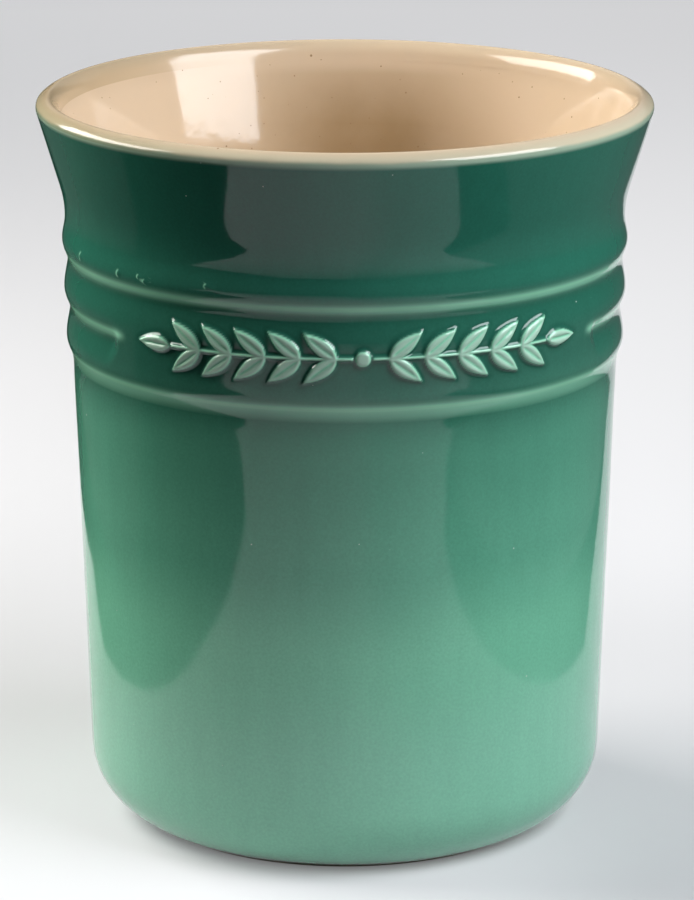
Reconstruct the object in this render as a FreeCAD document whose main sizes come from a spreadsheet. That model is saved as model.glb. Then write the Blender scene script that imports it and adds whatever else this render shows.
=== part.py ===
import FreeCAD, Part
import math
import os
import Sketcher

# A glazed stoneware utensil crock: a fired clay vessel under four fired-on coats of glaze.
# Millimetres, +Z up, origin at the middle of the foot, front of the crock towards -Y.

SIZES = {
    # Overall
    "crock_height": 150.0,
    "body_diameter": 111.0,       # outside, at the lowest notch
    "wall_draft": 1.85,           # degrees that the wall leans out
    "wall_thickness": 5.6,        # through the clay and both coats
    # Flared rim
    "flare_height": 23.5,         # waist to top of rim
    "rim_flare": 5.55,            # rim beyond the waist
    "waist_depth": 0.55,          # waist inside the crest of the top ring
    "waist_arc_radius": 24.0,
    "lip_thickness": 4.4,         # across the round lip
    "inner_flare_angle": 16.0,    # degrees from upright
    "inner_waist_radius": 30.0,
    "rim_band_depth": 4.0,        # pale band, down from the top on the inside
    # Rings below the waist
    "waist_rise": 8.25,           # top notch to waist
    "ring_pitch": 10.0,
    "ring_depth": 1.1,
    "ring_edge_radius": 2.5,
    # Plain panel at the front, where the middle notch stops short
    "panel_angle": 108.0,         # degrees about the axis
    "panel_turn": 3.5,            # degrees from straight ahead towards +X
    # Base
    "base_corner_radius": 14.6,
    "floor_thickness": 7.5,       # inside face above the table
    "inner_corner_radius": 10.0,
    "glaze_line_height": 1.1,     # lower edge of the outer coat above the table
    "foot_reach": 3.4,            # foot ring beyond the centre of the base corner
    "foot_ring_width": 5.0,
    "foot_recess": 2.0,           # hollow under the floor, up to the face of its coat
    # Coats
    "glaze_thickness": 0.4,
}

RINGS = 3

doc = FreeCAD.newDocument("utensil_crock")
sheet = doc.addObject("Spreadsheet::Sheet", "Sizes")
for row, (alias, size) in enumerate(SIZES.items(), start=1):
    sheet.set(f"A{row}", str(size))
    sheet.setAlias(f"A{row}", alias)
doc.recompute()

# Formulas in the sheet's sizes; each drives the sketches and gives them their first guess
BARE = "0"
COAT = "Sizes.glaze_thickness"
DRAFT = "(Sizes.wall_draft * 1 deg)"
INNER_FLARE = "(Sizes.inner_flare_angle * 1 deg)"
BODY_R = "(Sizes.body_diameter / 2)"
LIP_R = "(Sizes.lip_thickness / 2)"
WAIST_Z = "(Sizes.crock_height - Sizes.flare_height)"
LOW_NOTCH_Z = f"({WAIST_Z} - Sizes.waist_rise - {RINGS - 1} * Sizes.ring_pitch)"
TOP_NOTCH_R = f"({BODY_R} + {RINGS - 1} * Sizes.ring_pitch * tan({DRAFT}))"
WAIST_R = f"({TOP_NOTCH_R} + Sizes.ring_depth - Sizes.waist_depth)"
LIP_CENTRE_R = f"({WAIST_R} + Sizes.rim_flare - {LIP_R})"
LIP_CENTRE_Z = f"(Sizes.crock_height - {LIP_R})"
EDGE_RISE = "sqrt(2 * Sizes.ring_edge_radius * Sizes.ring_depth - Sizes.ring_depth ^ 2)"
BAND_Z = "(Sizes.crock_height - Sizes.rim_band_depth)"
CORNER_CENTRE_R = (
    f"({BODY_R} - ({LOW_NOTCH_Z} - Sizes.base_corner_radius) * tan({DRAFT})"
    f" - Sizes.base_corner_radius / cos({DRAFT}))"
)
FOOT_OUTER_R = f"({CORNER_CENTRE_R} + Sizes.foot_reach)"
FOOT_INNER_R = f"({FOOT_OUTER_R} - Sizes.foot_ring_width)"
FRONT_TURN = "(Sizes.panel_turn * 1 deg - 90 deg)"
BACK_TURN = "(Sizes.panel_turn * 1 deg + 90 deg)"
RINGS_ANGLE = "360 deg - Sizes.panel_angle * 1 deg"
PANEL_ANGLE = "Sizes.panel_angle * 1 deg"


def value(formula):
    """Returns what a formula comes to, in millimetres or radians."""
    found = sheet.evalExpression(formula)
    if isinstance(found, FreeCAD.Units.Quantity):
        return math.radians(found.Value) if found.Unit == FreeCAD.Units.Angle else found.Value
    return float(found)


class Edge:
    """One edge of an outline, with the vertex numbers of its two ends in drawing order."""

    CENTRE_INDEX = 3

    def __init__(self, index, tail, head):
        self.index = index
        self.tail = tail
        self.head = head


class Outline:
    """A closed outline in a sketch on the body's upright plane, X outwards from the axis, Y up."""

    AXIS_INDEX = -2
    TABLE_INDEX = -1
    ORIGIN_INDEX = (-1, 1)

    def __init__(self, body, name, turn="0 deg"):
        self.sketch = body.newObject("Sketcher::SketchObject", name)
        upright = next(plane for plane in body.Origin.OriginFeatures if plane.Role == "XZ_Plane")
        self.sketch.AttachmentSupport = [(upright, "")]
        self.sketch.MapMode = "FlatFace"
        about_axis = FreeCAD.Rotation(FreeCAD.Vector(0, 1, 0), 1)
        self.sketch.AttachmentOffset = FreeCAD.Placement(FreeCAD.Vector(), about_axis)
        self.sketch.setExpression("AttachmentOffset.Rotation.Angle", turn)
        self.rules = []
        self.formulas = {}

    def line(self, start, end):
        """Draws a straight edge."""
        segment = Part.LineSegment(FreeCAD.Vector(*start, 0), FreeCAD.Vector(*end, 0))
        return Edge(self.sketch.addGeometry(segment, False), 1, 2)

    def arc(self, centre, start, end, clockwise=False):
        """Draws an arc about centre from start to end."""
        middle = FreeCAD.Vector(*centre, 0)
        circle = Part.Circle(middle, FreeCAD.Vector(0, 0, 1), math.dist(centre, start))
        ends = (end, start) if clockwise else (start, end)
        angles = [math.atan2(y - centre[1], x - centre[0]) for x, y in ends]
        index = self.sketch.addGeometry(Part.ArcOfCircle(circle, *angles), False)
        return Edge(index, 2, 1) if clockwise else Edge(index, 1, 2)

    def rule(self, *parts, formula=None):
        """Keeps one constraint, and the formula that its size follows."""
        if formula is not None:
            self.formulas[len(self.rules)] = formula
            parts += (value(formula),)
        self.rules.append(Sketcher.Constraint(*parts))

    def join(self, before, after, smooth=False):
        """Joins the head of one edge to the tail of the next."""
        kind = "Tangent" if smooth else "Coincident"
        self.rule(kind, before.index, before.head, after.index, after.tail)

    def close(self, first, first_vertex, second, second_vertex):
        """Draws a straight edge between two vertices that other constraints hold."""
        start = self.sketch.getPoint(first.index, first_vertex)
        end = self.sketch.getPoint(second.index, second_vertex)
        edge = self.line((start.x, start.y), (end.x, end.y))
        self.rule("Coincident", first.index, first_vertex, edge.index, edge.tail)
        self.rule("Coincident", second.index, second_vertex, edge.index, edge.head)

    def run_to(self, before, start, end, end_r, end_z):
        """Draws a straight edge on from another, to a radius and a height, each a formula."""
        edge = self.line(start, end)
        self.join(before, edge)
        self.at(edge, edge.head, end_r, end_z)
        return edge

    def at(self, edge, vertex, radius=None, height=None):
        """Sets how far a vertex lies from the axis and above the table, each a formula."""
        places = (("DistanceX", self.AXIS_INDEX, radius), ("DistanceY", self.TABLE_INDEX, height))
        for kind, datum, formula in places:
            if formula == "0":
                self.rule("PointOnObject", edge.index, vertex, datum)
            elif formula is not None:
                self.rule(kind, *self.ORIGIN_INDEX, edge.index, vertex, formula=formula)

    def radius(self, edge, formula):
        """Sets the radius of an arc."""
        self.rule("Radius", edge.index, formula=formula)

    def lean(self, edge, formula):
        """Sets the direction of a straight edge."""
        self.rule("Angle", edge.index, formula=formula)

    def upright_at(self, arc, vertex):
        """Makes an arc run upright at one of its ends."""
        self.rule("Horizontal", arc.index, Edge.CENTRE_INDEX, arc.index, vertex)

    def finish(self):
        """Sets all constraints at once and binds their sizes to the sheet."""
        self.sketch.addConstraint(self.rules)
        for number, formula in self.formulas.items():
            self.sketch.setExpression(f"Constraints[{number}]", formula)
        doc.recompute()


def on_circle(centre, radius, angle):
    """Returns the point of a circle at an angle in radians."""
    return (centre[0] + radius * math.cos(angle), centre[1] + radius * math.sin(angle))


def draw_base_and_wall(outline, skin):
    """Draws the base corner from the glaze line up, and the straight wall to the lowest notch."""
    corner_r = f"(Sizes.base_corner_radius - {skin})"
    wall_r = f"({BODY_R} - {skin})"
    centre = (value(CORNER_CENTRE_R), value("Sizes.base_corner_radius"))
    drop = centre[1] - value("Sizes.glaze_line_height")
    glaze_line = (centre[0] + math.sqrt(value(corner_r) ** 2 - drop ** 2), centre[1] - drop)
    shoulder = on_circle(centre, value(corner_r), -value(DRAFT))
    corner = outline.arc(centre, glaze_line, shoulder)
    outline.radius(corner, corner_r)
    outline.at(corner, Edge.CENTRE_INDEX, height="Sizes.base_corner_radius")
    outline.at(corner, corner.tail, height="Sizes.glaze_line_height")
    wall = outline.line(shoulder, (value(wall_r), value(LOW_NOTCH_Z)))
    outline.join(corner, wall, smooth=True)
    outline.at(wall, wall.head, wall_r, LOW_NOTCH_Z)
    outline.lean(wall, f"90 deg - {DRAFT}")
    return corner, wall


def draw_under_edge(outline, below, notch, crest, crest_r):
    """Draws the round lower edge of a ring, from the notch under it out to its crest."""
    bend = value("Sizes.ring_edge_radius")
    edge = outline.arc((crest[0] - bend, crest[1]), notch, crest)
    outline.join(below, edge)
    outline.radius(edge, "Sizes.ring_edge_radius")
    outline.upright_at(edge, edge.head)
    outline.at(edge, edge.head, crest_r)
    return edge


def draw_s_slope(outline, below, crest, top, top_r, top_z):
    """Draws two equal arcs from a ring's crest up and in to the notch or waist above it."""
    rise = top[1] - crest[1]
    inset = crest[0] - top[0]
    bend = (rise ** 2 + inset ** 2) / (4 * inset)
    middle = ((crest[0] + top[0]) / 2, (crest[1] + top[1]) / 2)
    swell = outline.arc((crest[0] - bend, crest[1]), crest, middle)
    hollow = outline.arc((top[0] + bend, top[1]), middle, top, clockwise=True)
    outline.join(below, swell)
    outline.upright_at(swell, swell.tail)
    outline.join(swell, hollow, smooth=True)
    outline.rule("Equal", swell.index, hollow.index)
    outline.upright_at(hollow, hollow.head)
    outline.at(hollow, hollow.head, top_r, top_z)
    return hollow


def draw_rings(outline, wall, skin, plain_panel):
    """Draws the rings up to the waist; on the panel the lower two are one plain band."""
    notch_r = [f"({BODY_R} - {skin} + {ring} * Sizes.ring_pitch * tan({DRAFT}))" for ring in range(RINGS)]
    notch_z = [f"({LOW_NOTCH_Z} + {ring} * Sizes.ring_pitch)" for ring in range(RINGS)]
    crest_r = [f"({foot_r} + Sizes.ring_depth)" for foot_r in notch_r]
    crest_z = [f"({foot_z} + {EDGE_RISE})" for foot_z in notch_z]
    notches = [(value(r), value(z)) for r, z in zip(notch_r, notch_z)]
    crests = [(value(r), value(z)) for r, z in zip(crest_r, crest_z)]
    waist = (f"({WAIST_R} - {skin})", WAIST_Z)
    tops = [*zip(notch_r[1:], notch_z[1:]), waist]
    last = wall
    for ring, (top_r, top_z) in enumerate(tops):
        if plain_panel and ring == 1:
            last = outline.run_to(last, crests[0], crests[1], crest_r[1], crest_z[1])
        else:
            last = draw_under_edge(outline, last, notches[ring], crests[ring], crest_r[ring])
        if not plain_panel or ring != 0:
            top = (value(top_r), value(top_z))
            last = draw_s_slope(outline, last, crests[ring], top, top_r, top_z)
    return last


def draw_flare(outline, below, skin):
    """Draws the waist and the flare up to the widest point of the lip."""
    waist = (value(WAIST_R) - value(skin), value(WAIST_Z))
    waist_bend = value("Sizes.waist_arc_radius")
    waist_centre = (waist[0] + waist_bend, waist[1])
    lip_r = f"({LIP_R} - {skin})"
    lip_centre = (value(LIP_CENTRE_R), value(LIP_CENTRE_Z))
    across = (lip_centre[0] - waist_centre[0], lip_centre[1] - waist_centre[1])
    squeeze = math.asin((waist_bend + value(lip_r)) / math.hypot(*across))
    outwards = math.atan2(across[1], across[0]) - squeeze - math.pi / 2
    flare_foot = on_circle(waist_centre, waist_bend, outwards + math.pi)
    flare_top = on_circle(lip_centre, value(lip_r), outwards)
    hollow = outline.arc(waist_centre, waist, flare_foot, clockwise=True)
    flare = outline.line(flare_foot, flare_top)
    lip = outline.arc(lip_centre, flare_top, on_circle(lip_centre, value(lip_r), 0))
    outline.join(below, hollow)
    outline.upright_at(hollow, hollow.tail)
    outline.radius(hollow, "Sizes.waist_arc_radius")
    outline.join(hollow, flare, smooth=True)
    outline.join(flare, lip, smooth=True)
    outline.radius(lip, lip_r)
    outline.at(lip, Edge.CENTRE_INDEX, LIP_CENTRE_R, LIP_CENTRE_Z)
    outline.upright_at(lip, lip.head)
    return lip


def draw_outside(outline, skin, plain_panel):
    """Draws the outside from the glaze line to the widest point of the lip, skin deep."""
    corner, wall = draw_base_and_wall(outline, skin)
    rings = draw_rings(outline, wall, skin, plain_panel)
    return corner, draw_flare(outline, rings, skin)


def inner_flare_point(skin):
    """Returns where the inside leaves the round of the lip."""
    lip_centre = (value(LIP_CENTRE_R), value(LIP_CENTRE_Z))
    return on_circle(lip_centre, value(LIP_R) - value(skin), math.pi - value(INNER_FLARE))


def draw_inside(outline, skin, top):
    """Draws the inside from a point of its flare down the wall and along the floor to the axis."""
    flare_lean = value(INNER_FLARE)
    wall_lean = value(DRAFT)
    wall_r = f"({BODY_R} - Sizes.wall_thickness + {skin})"
    waist_r = f"(Sizes.inner_waist_radius - {skin})"
    corner_r = f"(Sizes.inner_corner_radius + {skin})"
    corner_z = "(Sizes.floor_thickness + Sizes.inner_corner_radius)"
    guide = (value(wall_r), value(LOW_NOTCH_Z))
    start = inner_flare_point(skin)

    def wall_at(height):
        return guide[0] + (height - guide[1]) * math.tan(wall_lean)

    gap = start[0] - wall_at(start[1])
    meet_z = start[1] - gap / (math.tan(flare_lean) - math.tan(wall_lean))
    reach = value(waist_r) * math.tan((flare_lean - wall_lean) / 2)
    upper = (wall_at(meet_z) + reach * math.sin(flare_lean), meet_z + reach * math.cos(flare_lean))
    lower = (wall_at(meet_z) - reach * math.sin(wall_lean), meet_z - reach * math.cos(wall_lean))
    waist_centre = on_circle(upper, value(waist_r), -flare_lean)
    corner_centre = (wall_at(value(corner_z)) - value(corner_r) / math.cos(wall_lean), value(corner_z))
    heel = on_circle(corner_centre, value(corner_r), -wall_lean)
    floor_edge = on_circle(corner_centre, value(corner_r), -math.pi / 2)

    flare = outline.line(top, upper)
    waist = outline.arc(waist_centre, upper, lower)
    wall = outline.line(lower, heel)
    corner = outline.arc(corner_centre, heel, floor_edge, clockwise=True)
    floor = outline.line(floor_edge, (0, floor_edge[1]))
    outline.lean(flare, f"-90 deg - {INNER_FLARE}")
    outline.join(flare, waist, smooth=True)
    outline.radius(waist, waist_r)
    outline.join(waist, wall, smooth=True)
    outline.lean(wall, f"-90 deg - {DRAFT}")
    mark = outline.sketch.addGeometry(Part.Point(FreeCAD.Vector(*guide, 0)), True)
    outline.at(Edge(mark, 1, 1), 1, wall_r, LOW_NOTCH_Z)
    outline.rule("PointOnObject", mark, 1, wall.index)
    outline.join(wall, corner, smooth=True)
    outline.radius(corner, corner_r)
    outline.at(corner, Edge.CENTRE_INDEX, height=corner_z)
    outline.join(corner, floor, smooth=True)
    outline.rule("Horizontal", floor.index)
    outline.at(floor, floor.head, radius="0")
    return flare, floor


def draw_lip_top(outline, skin):
    """Draws the round of the lip from its widest point over the top to the inner flare."""
    centre = (value(LIP_CENTRE_R), value(LIP_CENTRE_Z))
    start = on_circle(centre, value(LIP_R) - value(skin), 0)
    lip = outline.arc(centre, start, inner_flare_point(skin))
    outline.at(lip, Edge.CENTRE_INDEX, LIP_CENTRE_R, LIP_CENTRE_Z)
    return lip


def band_r(skin):
    """Gives the radius of the inside where the pale band ends."""
    level = f"({LIP_R} - Sizes.rim_band_depth)"
    return f"({LIP_CENTRE_R} + {level} * tan({INNER_FLARE}) - ({LIP_R} - {skin}) / cos({INNER_FLARE}))"


def draw_clay(outline, plain_panel):
    """Draws half of the clay vessel's section, closed along the axis."""
    corner, side = draw_outside(outline, COAT, plain_panel)
    lip = draw_lip_top(outline, COAT)
    outline.join(side, lip)
    flare, floor = draw_inside(outline, COAT, inner_flare_point(COAT))
    outline.join(lip, flare, smooth=True)
    ceiling_z = f"(Sizes.foot_recess + {COAT})"
    hub = (0, value(ceiling_z))
    recess = (value(FOOT_INNER_R), hub[1])
    foot_inside = (recess[0], 0)
    foot_outside = (value(FOOT_OUTER_R), 0)
    axis = outline.run_to(floor, (0, value("Sizes.floor_thickness")), hub, "0", ceiling_z)
    ceiling = outline.run_to(axis, hub, recess, FOOT_INNER_R, ceiling_z)
    foot_wall = outline.run_to(ceiling, recess, foot_inside, FOOT_INNER_R, "0")
    foot_face = outline.run_to(foot_wall, foot_inside, foot_outside, FOOT_OUTER_R, "0")
    outline.close(foot_face, foot_face.head, corner, corner.tail)


def draw_outer_coat(outline, plain_panel):
    """Draws the section of the outer coat, between the clay and the outside."""
    outer_foot, outer_lip = draw_outside(outline, BARE, plain_panel)
    clay_foot, clay_lip = draw_outside(outline, COAT, plain_panel)
    outline.close(outer_foot, outer_foot.tail, clay_foot, clay_foot.tail)
    outline.close(outer_lip, outer_lip.head, clay_lip, clay_lip.head)


def draw_rim_coat(outline):
    """Draws the section of the pale band over the lip."""
    ends = []
    for skin in (BARE, COAT):
        lip = draw_lip_top(outline, skin)
        outline.radius(lip, f"({LIP_R} - {skin})")
        outline.upright_at(lip, lip.tail)
        foot = (value(band_r(skin)), value(BAND_Z))
        band = outline.line(inner_flare_point(skin), foot)
        outline.join(lip, band, smooth=True)
        outline.lean(band, f"-90 deg - {INNER_FLARE}")
        outline.at(band, band.head, height=BAND_Z)
        ends.append((lip, band))
    (outer_lip, outer_band), (clay_lip, clay_band) = ends
    outline.close(outer_lip, outer_lip.tail, clay_lip, clay_lip.tail)
    outline.close(outer_band, outer_band.head, clay_band, clay_band.head)


def draw_inner_coat(outline):
    """Draws the section of the lining, from the pale band down to the middle of the floor."""
    ends = []
    for skin in (BARE, COAT):
        top = (value(band_r(skin)), value(BAND_Z))
        flare, floor = draw_inside(outline, skin, top)
        outline.at(flare, flare.tail, band_r(skin), BAND_Z)
        ends.append((flare, floor))
    (face_flare, face_floor), (clay_flare, clay_floor) = ends
    outline.close(face_flare, face_flare.tail, clay_flare, clay_flare.tail)
    outline.close(face_floor, face_floor.head, clay_floor, clay_floor.head)


def draw_underside_coat(outline):
    """Draws the section of the thin disc of glaze in the hollow under the floor."""
    low_z = "Sizes.foot_recess"
    high_z = f"({low_z} + {COAT})"
    rim_r = value(FOOT_INNER_R)
    low = outline.line((0, value(low_z)), (rim_r, value(low_z)))
    outline.at(low, low.tail, "0", low_z)
    outline.at(low, low.head, FOOT_INNER_R, low_z)
    side = outline.run_to(low, (rim_r, value(low_z)), (rim_r, value(high_z)), FOOT_INNER_R, high_z)
    high = outline.run_to(side, (rim_r, value(high_z)), (0, value(high_z)), "0", high_z)
    outline.close(high, high.head, low, low.tail)


def revolve(body, outline, name, angle="360 deg"):
    """Turns an outline about the axis, evenly to both sides of its sketch."""
    outline.finish()
    turned = body.newObject("PartDesign::Revolution", name)
    turned.Profile = outline.sketch
    turned.ReferenceAxis = (outline.sketch, ["V_Axis"])
    turned.Midplane = True
    turned.setExpression("Angle", angle)
    doc.recompute()


def new_body(name):
    """Adds the body of one sub-part."""
    body = doc.addObject("PartDesign::Body", name)
    body.Label = name
    return body


def make_stepped(name, draw):
    """Makes a piece that has all the notches, apart from the plain panel at the front."""
    body = new_body(name)
    for part, turn, angle in (("rings", BACK_TURN, RINGS_ANGLE), ("panel", FRONT_TURN, PANEL_ANGLE)):
        outline = Outline(body, f"{name}_{part}_outline", turn)
        draw(outline, part == "panel")
        revolve(body, outline, f"{name}_{part}", angle)
    return body


def make_round(name, draw):
    """Makes a piece that is the same all the way round."""
    body = new_body(name)
    outline = Outline(body, f"{name}_outline")
    draw(outline)
    revolve(body, outline, f"{name}_turned")
    return body


pieces = [
    make_stepped("stoneware_body", draw_clay),
    make_stepped("outer_glaze", draw_outer_coat),
    make_round("rim_glaze", draw_rim_coat),
    make_round("inner_glaze", draw_inner_coat),
    make_round("underside_glaze", draw_underside_coat),
]
doc.recompute()

for item in doc.Objects:
    if {"Invalid", "Error"} & set(item.State):
        raise RuntimeError(f"{item.Label} failed: {item.State}")
for item in doc.findObjects("Sketcher::SketchObject"):
    if not item.FullyConstrained:
        raise RuntimeError(f"{item.Label} is loose")
for piece in pieces:
    if piece.Shape.isNull() or not piece.Shape.isValid():
        raise RuntimeError(f"{piece.Label} has no valid shape")

os.makedirs("parts", exist_ok=True)
for piece in pieces:
    box = piece.Shape.optimalBoundingBox()
    print(f"{piece.Label}: {len(piece.Shape.Solids)} solid, {piece.Shape.Volume / 1000:.2f} cm3,"
          f" {box.XLength:.2f} x {box.YLength:.2f} x {box.ZLength:.2f} mm")
    piece.Shape.exportStep(f"parts/{piece.Label}.step")
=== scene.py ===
"""A glazed stoneware utensil crock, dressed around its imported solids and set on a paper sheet."""

import logging
import math
from collections.abc import Callable, Iterable
from dataclasses import dataclass, field, replace
from enum import Enum

import bmesh
import bpy
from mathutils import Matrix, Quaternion, Vector, noise


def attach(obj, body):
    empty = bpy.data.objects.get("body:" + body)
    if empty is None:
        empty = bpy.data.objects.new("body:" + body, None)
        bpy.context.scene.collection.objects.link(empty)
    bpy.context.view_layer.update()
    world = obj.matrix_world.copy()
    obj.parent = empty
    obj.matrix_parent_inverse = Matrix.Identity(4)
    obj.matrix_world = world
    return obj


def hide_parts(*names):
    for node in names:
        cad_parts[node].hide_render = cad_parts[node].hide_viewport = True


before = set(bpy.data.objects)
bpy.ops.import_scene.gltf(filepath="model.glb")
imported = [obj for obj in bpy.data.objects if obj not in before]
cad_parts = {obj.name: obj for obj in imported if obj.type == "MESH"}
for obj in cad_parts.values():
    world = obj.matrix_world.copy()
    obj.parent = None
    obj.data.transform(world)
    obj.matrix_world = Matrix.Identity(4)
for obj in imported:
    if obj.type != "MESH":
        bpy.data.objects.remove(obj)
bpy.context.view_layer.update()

MM = 0.001
TINY = 1e-6
SHARP = math.radians(70.0)
Point = tuple[float, float]
Colour = tuple[float, float, float]
Edges = tuple[tuple[float, float, float], ...]
log = logging.getLogger("crock")


class Slot(Enum):
    """Material slots of the record."""

    CLAY = "fired_clay"
    GREEN = "green_glaze"
    RIM = "rim_glaze"
    CREAM = "cream_glaze"


class Reach(Enum):
    """What a lamp's light reaches."""

    ALL = "everything"
    SHINE = "reflections only"
    LIGHT = "surfaces only"


class Tone(Enum):
    """Colours of the lamps' light."""

    COOL = (0.97, 1.0, 1.05)
    WARM = (1.03, 1.0, 0.95)
    EVEN = (1.0, 1.0, 1.0)


class Layer(Enum):
    """Values kept on each vertex of a coat."""

    # Thin glaze, and the painted highlights on the blisters.
    THIN_AND_PAINTED_HIGHLIGHT = "thin"
    POOL = "pool"
    ACROSS = "across"
    SIDE = "side"


def smooth_step(low: float, high: float, value: float) -> float:
    """Eases from 0 at low to 1 at high.

    Args:
        low: Value where the step starts.
        high: Value where the step is complete; may lie below low.
        value: Value to place on the step.

    Returns:
        A share from 0 to 1.
    """
    share = min(1.0, max(0.0, (value - low) / (high - low)))
    return share * share * (3.0 - 2.0 * share)


def on_circle(centre: Point, radius: float, angle: float) -> Point:
    """Returns the point of a circle at an angle in radians."""
    return centre[0] + radius * math.cos(angle), centre[1] + radius * math.sin(angle)


def gain(first: float, last: float, along: float) -> float:
    """Returns how far a unit arc from one angle to another moves along a direction."""
    return math.cos(last - along) - math.cos(first - along)


def turn_of(place: Vector) -> float:
    """Returns the angle about the axis, from the front (-Y) towards +X, in radians."""
    return math.atan2(place.x, -place.y)


@dataclass(frozen=True)
class Line:
    """A straight stretch of a section between two (radius, height) points."""

    start: Point
    end: Point

    def length(self) -> float:
        """Returns the length of the stretch."""
        return math.dist(self.start, self.end)

    def at(self, share: float) -> Point:
        """Returns the point at a share of the way along."""
        return tuple(a + share * (b - a) for a, b in zip(self.start, self.end))

    def radius_at(self, height: float) -> float:
        """Returns the radius at a height within the stretch."""
        share = (height - self.start[1]) / (self.end[1] - self.start[1])
        return self.at(share)[0]


@dataclass(frozen=True)
class Arc:
    """A round stretch of a section, from one angle to another about its centre."""

    centre: Point
    radius: float
    first: float
    last: float

    @property
    def start(self) -> Point:
        """Returns the point where the stretch begins."""
        return self.at(0.0)

    @property
    def end(self) -> Point:
        """Returns the point where the stretch ends."""
        return self.at(1.0)

    def length(self) -> float:
        """Returns the length of the stretch."""
        return self.radius * abs(self.last - self.first)

    def at(self, share: float) -> Point:
        """Returns the point at a share of the way along."""
        return on_circle(self.centre, self.radius, self.first + share * (self.last - self.first))

    def radius_at(self, height: float) -> float:
        """Finds the radius at a height within the stretch.

        Args:
            height: The height.

        Returns:
            The radius there.
        """
        rise = min(self.radius, abs(height - self.centre[1]))
        reach = math.sqrt(self.radius ** 2 - rise ** 2)
        return self.centre[0] + math.copysign(reach, math.cos((self.first + self.last) / 2))


@dataclass(frozen=True)
class Section:
    """Half a section of a turned surface, as stretches that join end to end."""

    stretches: tuple[Line | Arc, ...]

    def points(self, step: float, least: int = 1) -> list[Point]:
        """Samples the section.

        Args:
            step: Greatest distance between two points.
            least: Fewest points that each stretch is cut into.

        Returns:
            The (radius, height) points from the first end to the last.
        """
        found = [self.stretches[0].start]
        for stretch in self.stretches:
            count = max(least, math.ceil(stretch.length() / step))
            found += [stretch.at(number / count) for number in range(1, count + 1)]
        return found

    def radius_at(self, height: float) -> float:
        """Finds the radius at a height, for a section that only rises.

        Args:
            height: The height.

        Returns:
            The radius there, held at the section's ends.
        """
        for stretch in self.stretches:
            if height <= stretch.end[1]:
                return stretch.radius_at(max(height, stretch.start[1]))
        return self.stretches[-1].end[0]


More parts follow.
